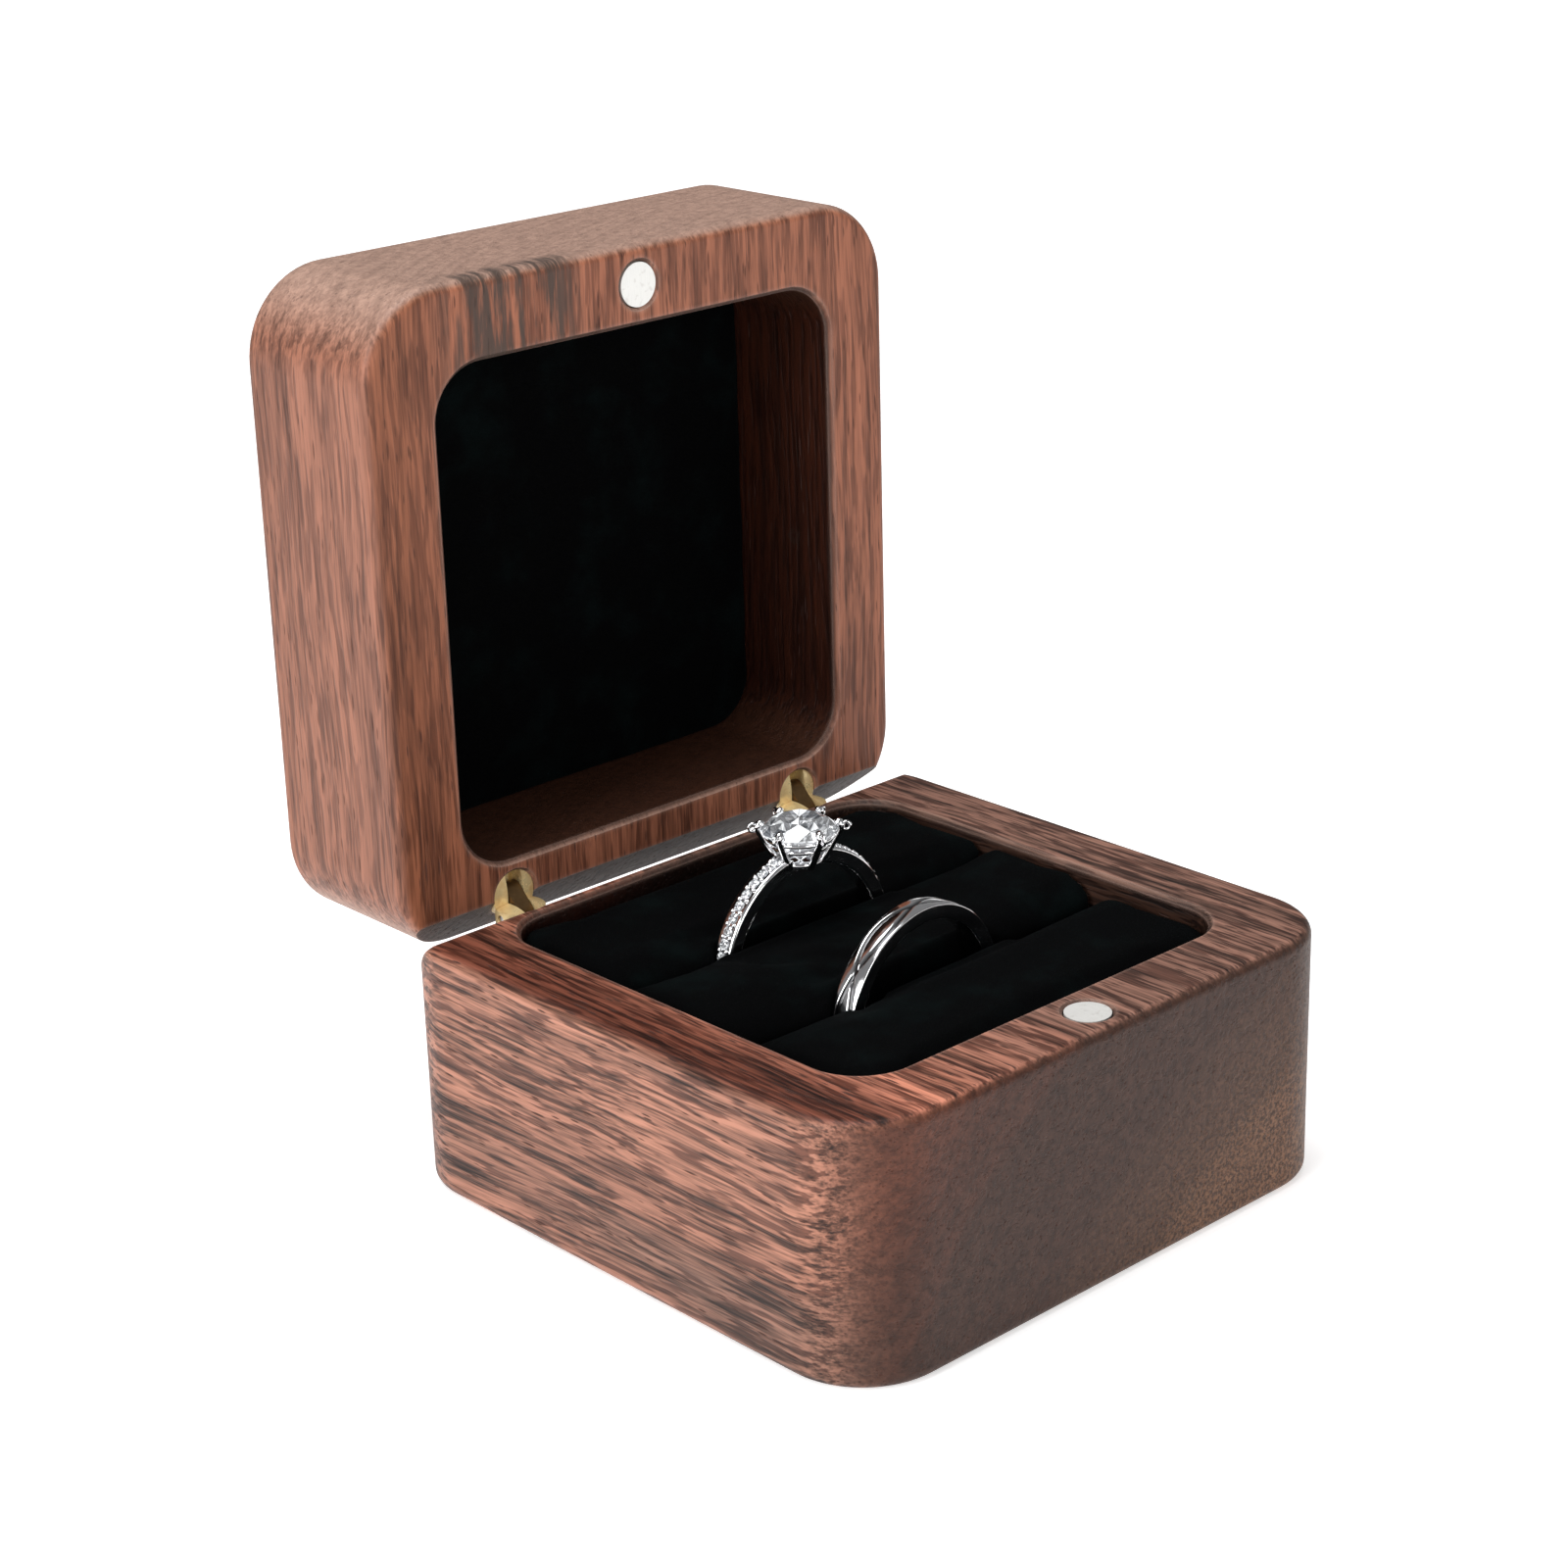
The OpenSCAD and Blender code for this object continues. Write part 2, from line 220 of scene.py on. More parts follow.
def use_group(tree, group, values):
    """One copy of a group in a material, with its own values; gives its outputs."""
    return put(tree, "Group", values, node_tree=group).outputs


def raised(tree, shader, height, depth, strength=1.0):
    """Bumps the shader's normal by a height of that depth in metres."""
    bump = put(tree, "Bump", {"Strength": strength, "Distance": depth, "Height": height})
    tree.links.new(bump.outputs[0], shader.inputs["Normal"])


def stretched(tree, place, factors, shift=0.0):
    """A place scaled by its own factor along each axis, for a pattern drawn out one way."""
    return put(
        tree, "VectorMath", {0: place, 1: factors, 2: (shift, shift, shift)}, operation="MULTIPLY_ADD"
    ).outputs[0]


grain, come, go = new_group(
    "walnut grain",
    [("Vector", "Vector"), ("Pith X", "Float"), ("Pith Z", "Float"), ("Pore Share", "Float")],
    [("Ring", "Float"), ("Fibre", "Float"), ("Dashes", "Float"), ("Pores", "Float"), ("Height", "Float")],
)
slow = stretched(grain, come["Vector"], (0.06, 0.018, 0.06))
sway = put(grain, "TexNoise", {"Vector": slow, "Scale": 1.0, "Detail": 2.0})
sway = put(grain, "VectorMath", {0: sway.outputs["Color"], 1: (0.5, 0.5, 0.5)}, operation="SUBTRACT")
sway = put(grain, "VectorMath", {0: sway.outputs[0], "Scale": 4.0}, operation="SCALE")
bent = put(grain, "VectorMath", {0: come["Vector"], 1: sway.outputs[0]}, operation="ADD").outputs[0]
parts = put(grain, "SeparateXYZ", {0: bent}).outputs
across = math(grain, "SUBTRACT", parts["X"], come["Pith X"])
upward = math(grain, "SUBTRACT", parts["Z"], come["Pith Z"])
ring = math(grain, "ADD", math(grain, "POWER", across, 2.0), math(grain, "POWER", upward, 2.0))
ring = math(grain, "SQRT", ring)
along = put(
    grain, "CombineXYZ",
    {"X": math(grain, "MULTIPLY", ring, 0.22), "Y": math(grain, "MULTIPLY", parts["Y"], 0.012)},
)
drift = math(grain, "SUBTRACT", noise(grain, along.outputs[0], 1.0, 4.0, 0.6), 0.5)
ring_drift_mm = 24.0
grain.links.new(math(grain, "ADD", ring, math(grain, "MULTIPLY", drift, ring_drift_mm)), go["Ring"])
coarse = noise(grain, stretched(grain, bent, (0.9, 0.03, 0.9)), 1.0, 5.0, 0.62)
fine = noise(grain, stretched(grain, bent, (4.2, 0.12, 4.2)), 1.0, 3.0, 0.6)
fibre = math(grain, "ADD", math(grain, "MULTIPLY", coarse, 0.55), math(grain, "MULTIPLY", fine, 0.45))
grain.links.new(fibre, go["Fibre"])
vessels = noise(grain, stretched(grain, bent, (1.9, 0.15, 1.9), 11.0), 1.0, 2.0, 0.5)
dashes = span(grain, vessels, 0.49, 0.59)
grain.links.new(dashes, go["Dashes"])
crowded = noise(grain, stretched(grain, bent, (0.16, 0.03, 0.16)), 1.0, 2.0)
share = math(grain, "MULTIPLY", come["Pore Share"], span(grain, crowded, 0.35, 0.65, 0.55, 1.25))
pore_mask = None
for reach, seed, width in (((1.35, 0.17, 1.35), 0.0, 0.21), ((2.2, 0.30, 2.2), 37.0, 0.23)):
    cells = stretched(grain, bent, reach, seed)
    hole = put(grain, "TexVoronoi", {"Vector": cells, "Scale": 1.0, "Randomness": 1.0})
    chance = put(grain, "SeparateColor", {0: hole.outputs["Color"]}).outputs[0]
    open_here = span(grain, math(grain, "SUBTRACT", chance, share), 0.0, -0.08)
    dark = math(grain, "MULTIPLY", span(grain, hole.outputs["Distance"], width, 0.4 * width), open_here)
    pore_mask = dark if pore_mask is None else math(grain, "MAXIMUM", pore_mask, dark)
grain.links.new(pore_mask, go["Pores"])
sunk = math(grain, "MAXIMUM", pore_mask, math(grain, "MULTIPLY", dashes, 0.4))
grain.links.new(math(grain, "SUBTRACT", math(grain, "MULTIPLY", fibre, 0.3), sunk), go["Height"])

# Painted highlight: a mask of the rounded edges from the Bevel node, painted pale as light along the
# arrises.
painted_edge_light, come, go = new_group("edge highlight", [("Reach", "Float")], [("Highlight", "Float")])
eased = put(painted_edge_light, "Bevel", {"Radius": come["Reach"]}, samples=4)
true_face = put(painted_edge_light, "NewGeometry")
level = put(
    painted_edge_light, "VectorMath", {0: eased.outputs[0], 1: true_face.outputs["Normal"]}, operation="DOT_PRODUCT"
)
painted_edge_light.links.new(span(painted_edge_light, level.outputs["Value"], 0.995, 0.88), go["Highlight"])


def walnut(
    name, turn, shift, pith, bands, rim, hollow, tones, pores, contrast, heart=(-1.0, (0, 0, 0))
):
    """Walnut in a block's own frame: turn and shift bring its grain onto Y, its depth onto Z.

    bands are the ring colours from near to far off the pith, 35 to 105 mm. rim is the side
    and height of the sanded rim and its tone at the left, hollow the lowest and highest
    level of the cavity's walls. tones are the colours that end grain, rim and hollow are
    multiplied by, pores how many there are and how dark. The hollow tone darkens the
    cavity's walls as painted shade; the base's end-grain tone and the lid's rim tone are
    partly the wood's own colour, partly painted shade. heart is the ring place within
    which the end grain turns to speckled heartwood, and that colour.
    """
    made, tree, shader, place, facing = new_material(name)
    lined_up = put(tree, "Mapping", {"Vector": place, "Rotation": turn, "Location": shift}).outputs[0]
    pore_share, pore_dark = pores
    wood = use_group(
        tree, grain, {"Vector": lined_up, "Pith X": pith[0], "Pith Z": pith[1], "Pore Share": pore_share}
    )
    looks = put(tree, "Mapping", {"Vector": facing, "Rotation": turn}, vector_type="VECTOR")
    looks = put(tree, "SeparateXYZ", {0: looks.outputs[0]}).outputs
    at = put(tree, "SeparateXYZ", {0: lined_up}).outputs
    end_mask = span(tree, math(tree, "ABSOLUTE", looks["Y"]), 0.25, 0.95)
    rim_side, rim_height, rim_tone = rim
    faces_rim = math(tree, "MULTIPLY", looks["Z"], float(rim_side))
    off_rim = math(tree, "ABSOLUTE", math(tree, "SUBTRACT", at["Z"], rim_height))
    rim_mask = math(tree, "MULTIPLY", span(tree, faces_rim, 0.6, 0.95), span(tree, off_rim, 0.5, 0.2))
    spread = math(tree, "MAXIMUM", math(tree, "ABSOLUTE", at["X"]), math(tree, "ABSOLUTE", at["Y"]))
    inside_wall, past_wall, fade = 22.9, 23.4, 0.4
    lowest, highest = hollow
    # Painted shade: the cavity's walls, between the hollow's levels and inside the rim, are darkened by the
    # hollow tone.
    painted_hollow_shade = span(tree, at["Z"], lowest - fade, lowest)
    painted_hollow_shade = math(tree, "MULTIPLY", span(tree, spread, past_wall, inside_wall), painted_hollow_shade)
    painted_hollow_shade = math(tree, "MULTIPLY", painted_hollow_shade, span(tree, at["Z"], highest + fade, highest))
    first_ring, last_ring = 35.0, 105.0
    band = put(tree, "MapRange", {"Value": wood["Ring"], "From Min": first_ring, "From Max": last_ring})
    colour = ramp(tree, band.outputs[0], bands)
    low, high = 1 - 0.62 * contrast, 1 + 0.42 * contrast
    dark, pale = (low, low * 0.94, low * 0.93, 1), (high, high * 0.98, high * 0.97, 1)
    streaks = mix(tree, span(tree, wood["Fibre"], 0.34, 0.64), dark, pale)
    colour = mix(tree, span(tree, end_mask, 0, 1, 1.0, 0.45), colour, streaks, "MULTIPLY")
    radians_per_mm = 2.6
    late = math(tree, "SINE", math(tree, "MULTIPLY", wood["Ring"], radians_per_mm))
    late = math(tree, "MULTIPLY", span(tree, late, 0.2, 1.0), end_mask)
    colour = mix(tree, math(tree, "MULTIPLY", late, 0.22), colour, (0.45, 0.42, 0.40, 1), "MULTIPLY")
    # The base's end-grain tone and the lid's rim tone are partly the wood's own colour and partly painted
    # shade, darkening faces that the reflector lamp lights.
    for mask, tone in zip((end_mask, rim_mask, painted_hollow_shade), tones):
        colour = mix(tree, mask, colour, (*tone, 1), "MULTIPLY")
    heart_edge, heart_tone = heart
    specks = noise(tree, stretched(tree, lined_up, (2.6, 1.0, 2.6)), 1.0, 3.0, 0.7)
    warm = mix(tree, span(tree, specks, 0.40, 0.60), (0.045, 0.022, 0.014, 1), (*heart_tone, 1))
    near = span(tree, band.outputs[0], heart_edge, heart_edge - 0.34)
    near = math(tree, "MULTIPLY", math(tree, "MULTIPLY", near, end_mask), 0.85)
    colour = mix(tree, near, colour, warm)
    # Painted shade: the chamfers along the hinge edge, rear-top on the base and down-front on the lid, are
    # darkened.
    shaded_chamfer = math(tree, "MULTIPLY", span(tree, looks["Y"], 0.5, 0.62), span(tree, faces_rim, 0.5, 0.62))
    colour = mix(tree, shaded_chamfer, colour, (0.20, 0.15, 0.13, 1), "MULTIPLY")
    stained = mix(tree, span(tree, at["X"], -27.5, -19.0), (*rim_tone, 1), (1.35, 1.35, 1.38, 1))
    colour = mix(tree, rim_mask, colour, stained, "MULTIPLY")
    dashed = math(tree, "MULTIPLY", wood["Dashes"], span(tree, end_mask, 0, 1, 0.75 * contrast, 0.2))
    dashed = math(tree, "MULTIPLY", dashed, 0.85, clamp=True)
    colour = mix(tree, dashed, colour, (0.32, 0.27, 0.26, 1), "MULTIPLY")
    pore_depth = span(tree, end_mask, 0, 1, pore_dark, pore_dark * 0.45)
    colour = mix(tree, math(tree, "MULTIPLY", wood["Pores"], pore_depth), colour, (0.055, 0.024, 0.018, 1))
    # Painted highlight: the rounded edges are mixed towards a pale colour.
    edge_light = use_group(tree, painted_edge_light, {"Reach": 0.0006})["Highlight"]
    colour = mix(tree, math(tree, "MULTIPLY", edge_light, 0.42), colour, (0.48, 0.31, 0.25, 1))
    tree.links.new(colour, shader.inputs["Base Color"])
    dull = math(tree, "ADD", math(tree, "MULTIPLY", wood["Fibre"], -0.22), 0.60)
    dull = math(tree, "ADD", dull, math(tree, "MULTIPLY", wood["Pores"], 0.3), clamp=True)
    tree.links.new(dull, shader.inputs["Roughness"])
    shader.inputs["Specular IOR Level"].default_value = 0.26
    raised(tree, shader, wood["Height"], 0.00010, 0.7)
    return made, tree, shader, place, colour


base_bands = [
    (0.00, (0.36, 0.170, 0.080)), (0.16, (0.26, 0.125, 0.066)), (0.30, (0.10, 0.052, 0.034)),
    (0.40, (0.135, 0.080, 0.060)), (0.66, (0.130, 0.075, 0.056)), (0.76, (0.23, 0.103, 0.068)),
    (0.86, (0.295, 0.133, 0.088)), (1.00, (0.215, 0.096, 0.065)),
]
base_walnut, *_ = walnut(
    "base walnut", turn=(0, 0, 0), shift=(0, 0, 0), pith=(45.0, -40.0), bands=base_bands,
    rim=(1, 23.6, (0.42, 0.33, 0.31)), hollow=(3.8, 23.2),
    tones=((0.33, 0.235, 0.195), (1.22, 1.07, 1.02), (0.28, 0.22, 0.19)),
    pores=(0.72, 0.92), contrast=1.45, heart=(0.50, (0.215, 0.105, 0.055)),
)
finish_with(base_walnut, cad["base_block"])


# ---- catch magnets --------------------------------------------------------
# A nickel-plated disc glued in each front rim, a hair below the wood. The plating is
# bright, with a faint brushed grain and a few pressing marks.

nickel, tree, shader, place, _ = new_material("nickel plating")
lines = noise(tree, stretched(tree, place, (9.0, 0.6, 0.6)), 1.0, 4.0, 0.7)
marks = span(tree, noise(tree, place, 1.9, 2.0), 0.56, 0.72)
tone = mix(tree, lines, (0.74, 0.73, 0.70, 1), (0.92, 0.91, 0.88, 1))
tone = mix(tree, math(tree, "MULTIPLY", marks, 0.35), tone, (0.55, 0.52, 0.48, 1))
tree.links.new(tone, shader.inputs["Base Color"])
shader.inputs["Metallic"].default_value = 0.35
tree.links.new(math(tree, "ADD", math(tree, "MULTIPLY", lines, 0.2), 0.32), shader.inputs["Roughness"])
raised(tree, shader, lines, 0.00001, 0.5)
finish_with(nickel, cad["base_magnet"], cad["lid_magnet"])


# ---- barrel hinges --------------------------------------------------------
# Turned brass barrels glued into the rear walls, a brass leaf between each pair and a
# steel cross pin through each barrel. The barrels are polished; the leaves are painted
# dark as painted shade, so that they read as a shadowed slot.

turned, come, go = new_group(
    "turned marks", [("Vector", "Vector"), ("Pitch", "Float")], [("Lines", "Float"), ("Tarnish", "Float")]
)
ringed = put(turned, "VectorMath", {0: come["Vector"], "Scale": come["Pitch"]}, operation="SCALE")
turned.links.new(noise(turned, ringed.outputs[0], 1.0, 3.0, 0.7), go["Lines"])
turned.links.new(span(turned, noise(turned, come["Vector"], 0.55, 4.0, 0.6), 0.40, 0.72), go["Tarnish"])


def drawn_metal(name, bright, dark, pitch, dull, metallic):
    """Turned or drawn metal: fine marks, and tarnish gathered in patches."""
    made, tree, shader, place, _ = new_material(name)
    marks = use_group(tree, turned, {"Vector": place, "Pitch": pitch})
    tone = mix(tree, math(tree, "MULTIPLY", marks["Tarnish"], 0.6), (*bright, 1), (*dark, 1))
    tone = mix(tree, math(tree, "MULTIPLY", marks["Lines"], 0.25), tone, (*dark, 1))
    tree.links.new(tone, shader.inputs["Base Color"])
    shader.inputs["Metallic"].default_value = metallic
    rough = math(tree, "ADD", math(tree, "MULTIPLY", marks["Tarnish"], 0.22), dull)
    tree.links.new(rough, shader.inputs["Roughness"])
    raised(tree, shader, marks["Lines"], 0.00001, 0.6)
    return made


brass = drawn_metal("turned brass", (1.0, 0.80, 0.42), (0.66, 0.40, 0.15), 7.0, 0.26, 0.30)
# The leaves' brass is painted dark: painted shade that makes them read as the dark slot between the barrels.
brass_painted_dark = drawn_metal("brass painted dark", (0.20, 0.115, 0.045), (0.07, 0.040, 0.018), 5.0, 0.40, 0.8)
steel = drawn_metal("drawn steel", (0.64, 0.64, 0.65), (0.30, 0.29, 0.28), 9.0, 0.28, 1.0)
sides = ("left", "right")
for side in sides:
    finish_with(brass, cad[f"base_barrel_{side}"], cad[f"lid_barrel_{side}"])
    finish_with(brass_painted_dark, cad[f"link_{side}"])
    finish_with(steel, cad[f"base_pin_{side}"], cad[f"lid_pin_{side}"])


# ---- insert card ----------------------------------------------------------
# Stiff grey board on the base's floor, which the foam is glued to. Recycled pulp with
# short pale and dark fibres.

greyboard, tree, shader, place, _ = new_material("grey board")
pulp = noise(tree, place, 1.3, 5.0, 0.7)
fleck = put(tree, "TexVoronoi", {"Vector": stretched(tree, place, (3.0, 0.8, 1.0)), "Scale": 1.0})
tone = mix(tree, pulp, (0.19, 0.18, 0.17, 1), (0.34, 0.33, 0.31, 1))
tone = mix(tree, span(tree, fleck.outputs["Distance"], 0.14, 0.06, 0.0, 0.7), tone, (0.10, 0.09, 0.08, 1))
tree.links.new(tone, shader.inputs["Base Color"])
tree.links.new(span(tree, pulp, 0.2, 0.8, 0.8, 0.95), shader.inputs["Roughness"])
raised(tree, shader, pulp, 0.00005)
finish_with(greyboard, cad["insert_card"])


# ---- cushion rolls --------------------------------------------------------
# Three foam rolls wrapped in black short-pile velvet, packed side by side on the card
# so that a ring stands in each slot between them.

velvet, tree, shader, place, _ = new_material("black velvet")
nap = noise(tree, place, 7.0, 3.0, 0.7)
lay = noise(tree, place, 0.16, 3.0, 0.6)
tone = mix(tree, nap, (0.0004, 0.0004, 0.0005, 1), (0.0016, 0.0017, 0.0019, 1))
tone = mix(tree, span(tree, lay, 0.46, 0.76, 0.0, 0.6), tone, (0.0026, 0.0056, 0.0056, 1))
tree.links.new(tone, shader.inputs["Base Color"])
tree.links.new(span(tree, nap, 0.2, 0.8, 0.98, 0.84), shader.inputs["Roughness"])
shader.inputs["Specular IOR Level"].default_value = 0.03
shader.inputs["Sheen Weight"].default_value = 0.008
shader.inputs["Sheen Roughness"].default_value = 0.35
shader.inputs["Sheen Tint"].default_value = (0.55, 0.72, 0.78, 1)
raised(tree, shader, nap, 0.00012, 0.8)

card_gap = (0.0001, 0.0001, 0)
well_low = np.array(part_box("insert_card")[0]) - card_gap
well_high = np.array(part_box("insert_card")[1]) + card_gap
ring_half_widths = {"solitaire_shank": 0.0011, "wedding_band": 0.0013}
simulated_scale = 10.0
pressure_frames = 20


def coordinates(mesh):
    """A mesh's vertex places as an array of rows."""
    flat = np.empty(len(mesh.vertices) * 3)
    mesh.vertices.foreach_get("co", flat)
    return flat.reshape(-1, 3)


def evaluated(piece):
    """A fresh mesh of the piece with its modifiers run."""
    seen = piece.evaluated_get(bpy.context.evaluated_depsgraph_get())
    return bpy.data.meshes.new_from_object(seen)


def clear_of_rings(points, rest):
    """Points pulled back to rest where a ring's metal, as a flat disc of its size, is near."""
    kept = points.copy()
    side_gap, rim_gap = 0.0009, 0.0008
    for name, half in ring_half_widths.items():
        low, high = (np.array(corner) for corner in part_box(name))
        middle = (low + high) / 2
        radius = (high[0] - low[0]) / 2
        out = np.hypot(points[:, 0] - middle[0], points[:, 2] - (low[2] + radius))
        near = (np.abs(points[:, 1] - middle[1]) < half + side_gap) & (out < radius + rim_gap)
        kept[near] = rest[near]
    return kept


def stuffed(node, cap):
    """A foam roll grown from its CAD solid: remeshed, blown up by cloth pressure at ten times
    its size, then each point's move is cut to cap metres and kept inside the well."""
    data = cad[node].data.copy()
    work = bmesh.new()
    work.from_mesh(data)
    bmesh.ops.remove_doubles(work, verts=work.verts, dist=1e-6)
    work.to_mesh(data)
    work.free()
    middle = (np.array(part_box(node)[0]) + np.array(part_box(node)[1])) / 2
    data.vertices.foreach_set("co", ((coordinates(data) - middle) * simulated_scale).ravel())
    roll = bpy.data.objects.new(node + "_velvet", data)
    scene.collection.objects.link(roll)
    mesher = roll.modifiers.new("mesh", "REMESH")
    mesher.mode = "VOXEL"
    mesher.voxel_size = 0.0075
    even = evaluated(roll)
    roll.modifiers.clear()
    roll.data = even
    rest = coordinates(even)
    blown = rest
    cloth = roll.modifiers.new("foam", "CLOTH")
    cloth.settings.use_pressure = True
    cloth.settings.uniform_pressure_force = 4.0
    cloth.settings.quality = 5
    cloth.settings.effector_weights.gravity = 0
    cloth.point_cache.frame_start = 1
    cloth.point_cache.frame_end = pressure_frames
    for moment in range(1, pressure_frames + 1):
        scene.frame_set(moment)
    blown = coordinates(evaluated(roll))
    roll.modifiers.clear()
    scene.frame_set(1)
    rest = rest / simulated_scale + middle
    moved = blown / simulated_scale + middle - rest
    far = np.linalg.norm(moved, axis=1, keepdims=True)
    points = rest + moved * np.minimum(1, cap / np.maximum(far, 1e-12))
    low, high = (np.array(corner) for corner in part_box(node))
    points[:, 0] = np.clip(points[:, 0], well_low[0], well_high[0])
    bulge, crown = 0.00008, 0.0004
    front, rear = max(low[1] - bulge, well_low[1]), min(high[1] + bulge, well_high[1])
    points[:, 1] = np.clip(points[:, 1], front, rear)
    points[:, 2] = np.clip(points[:, 2], low[2], high[2] + crown)
    points = clear_of_rings(points, rest)
    roll.data.vertices.foreach_set("co", points.ravel())
    roll.data.polygons.foreach_set("use_smooth", np.full(len(roll.data.polygons), True))
    soft = roll.modifiers.new("smooth", "SUBSURF")
    soft.levels = soft.render_levels = 1
    finish_with(velvet, roll)
    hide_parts(node)
    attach(roll, "base")


for node in ("cushion_front", "cushion_middle", "cushion_rear"):
    stuffed(node, 0.0005)


# ---- lid block ------------------------------------------------------------
# The base's other half, from the same plank: hollowed walnut whose grain runs upright
# while the lid stands open. A dark mineral streak crosses its rim by the magnet.

lid_bands = [
    (0.00, (0.25, 0.102, 0.060)), (0.22, (0.31, 0.126, 0.075)), (0.40, (0.24, 0.097, 0.058)),
    (0.58, (0.30, 0.126, 0.076)), (0.78, (0.275, 0.112, 0.068)), (1.00, (0.23, 0.095, 0.059)),
]
lid_walnut, tree, shader, place, colour = walnut(
    "lid walnut", turn=(np.radians(90), 0, 0), shift=(0, 50.28, 0), pith=(50.0, -75.0), bands=lid_bands,
    rim=(-1, 26.68, (1.05, 1.0, 0.92)), hollow=(27.1, 40.4),
    tones=((1.60, 2.45, 3.05), (0.92, 0.83, 0.73), (0.16, 0.098, 0.070)),
    pores=(0.55, 0.62), contrast=0.85,
)
parts = put(tree, "SeparateXYZ", {0: place}).outputs
edge = noise(tree, stretched(tree, place, (1.1, 0.1, 0.1)), 1.0, 4.0, 0.7)
left_right = math(tree, "MULTIPLY", span(tree, parts["X"], -24.0, -18.0), span(tree, parts["X"], -5.0, -9.5))
streak = math(tree, "MULTIPLY", left_right, span(tree, parts["Y"], 30.0, 28.0))
streak = math(tree, "MULTIPLY", streak, span(tree, parts["Z"], 64.0, 71.0))
streak = math(tree, "MULTIPLY", streak, span(tree, edge, 0.38, 0.58))
colour = mix(tree, math(tree, "MULTIPLY", streak, 0.92), colour, (0.060, 0.042, 0.034, 1))
knot = put(tree, "VectorMath", {0: place, 1: (22.8, 32.2, 47.7)}, operation="DISTANCE").outputs["Value"]
knot = math(tree, "ADD", knot, math(tree, "MULTIPLY", noise(tree, place, 2.0), 0.8))
ringed = math(tree, "MULTIPLY", span(tree, knot, 0.55, 0.8), span(tree, knot, 1.3, 1.0))
colour = mix(tree, math(tree, "MULTIPLY", ringed, 0.7), colour, (0.03, 0.014, 0.01, 1))
tree.links.new(colour, shader.inputs["Base Color"])
finish_with(lid_walnut, cad["lid_block"])


# ---- lid lining -----------------------------------------------------------
# A square of the same velvet glued flat on the lid's floor, its cut edge soft.


def grid_faces(rows, columns, wrap_rows=False, wrap_columns=False):
    """Quads over a rows by columns grid of points, joined round where it wraps."""
    row = np.arange(rows if wrap_rows else rows - 1)[:, None]
    column = np.arange(columns if wrap_columns else columns - 1)[None, :]
    row_next = (row + 1) % rows
    column_next = (column + 1) % columns
    here, after = row * columns, row_next * columns
    quads = np.stack([here + column, here + column_next, after + column_next, after + column], axis=-1)
    return quads.reshape(-1, 4)


def lining_sheet(name, low, high, corner, steps=64):
    """A rounded square at one depth: a unit square's point keeps its angle and is pulled in
    where it lies past the corner circle; the cloth ripples by a few hundredths of a mm."""
    u, v = np.meshgrid(np.linspace(-1, 1, steps), np.linspace(-1, 1, steps), indexing="ij")
    half = np.array([(high[0] - low[0]) / 2, (high[2] - low[2]) / 2])
    x, z = u * half[0], v * half[1]
    past_x = np.maximum(np.abs(x) - (half[0] - corner), 0)
    past_z = np.maximum(np.abs(z) - (half[1] - corner), 0)
    both = np.hypot(past_x, past_z)
    most = np.maximum(past_x, past_z)
    pull = np.where(both > 0, most / np.maximum(both, 1e-12), 1)
    x = np.sign(x) * (np.abs(x) - past_x * (1 - pull))
    z = np.sign(z) * (np.abs(z) - past_z * (1 - pull))
    ripple_height, lift = 0.00004, 0.00015
    ripple = ripple_height * (np.sin(x * 900 + 2 * np.sin(z * 400)) + np.sin(z * 760 + x * 310))
    y = np.full_like(x, low[1] + lift) + ripple
    points = np.stack([x + (low[0] + high[0]) / 2, y, z + (low[2] + high[2]) / 2], axis=-1)
    return new_piece(name, points.reshape(-1, 3), grid_faces(steps, steps))


lining_low, lining_high = (np.array(corner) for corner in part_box("lid_lining"))
lining = lining_sheet("lid_lining_velvet", lining_low, lining_high, 0.0048)
wall = lining.modifiers.new("pile", "SOLIDIFY")
wall.thickness = 0.0004
wall.offset = -1
finish_with(velvet, lining)
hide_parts("lid_lining")
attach(lining, "lid")


# ---- solitaire ring -------------------------------------------------------
# White gold: a polished shank with pave stones let into both shoulders between tiny
# beads, and a six-claw head whose claws curl over the edge of the centre stone.

white_gold, tree, shader, place, _ = new_material("white gold")
hairlines = noise(tree, stretched(tree, place, (2.0, 11.0, 2.0)), 1.0, 4.0, 0.75)
handled = noise(tree, place, 0.7, 3.0)
tone = mix(tree, handled, (0.80, 0.80, 0.82, 1), (0.95, 0.95, 0.96, 1))
# The metal's colour goes near black where the band's grooves run.
dark_in_grooves = put(tree, "Attribute", attribute_name="groove", attribute_type="GEOMETRY").outputs["Fac"]
tone = mix(tree, math(tree, "MULTIPLY", dark_in_grooves, 0.92), tone, (0.030, 0.030, 0.033, 1))
tree.links.new(tone, shader.inputs["Base Color"])
shader.inputs["Metallic"].default_value = 1.0
dull = span(tree, math(tree, "MULTIPLY", hairlines, handled), 0.1, 0.5, 0.06, 0.2)
tree.links.new(dull, shader.inputs["Roughness"])
raised(tree, shader, hairlines, 0.000004, 0.5)
finish_with(white_gold, cad["solitaire_shank"])

gem, tree, shader, place, _ = new_material("clear stone")
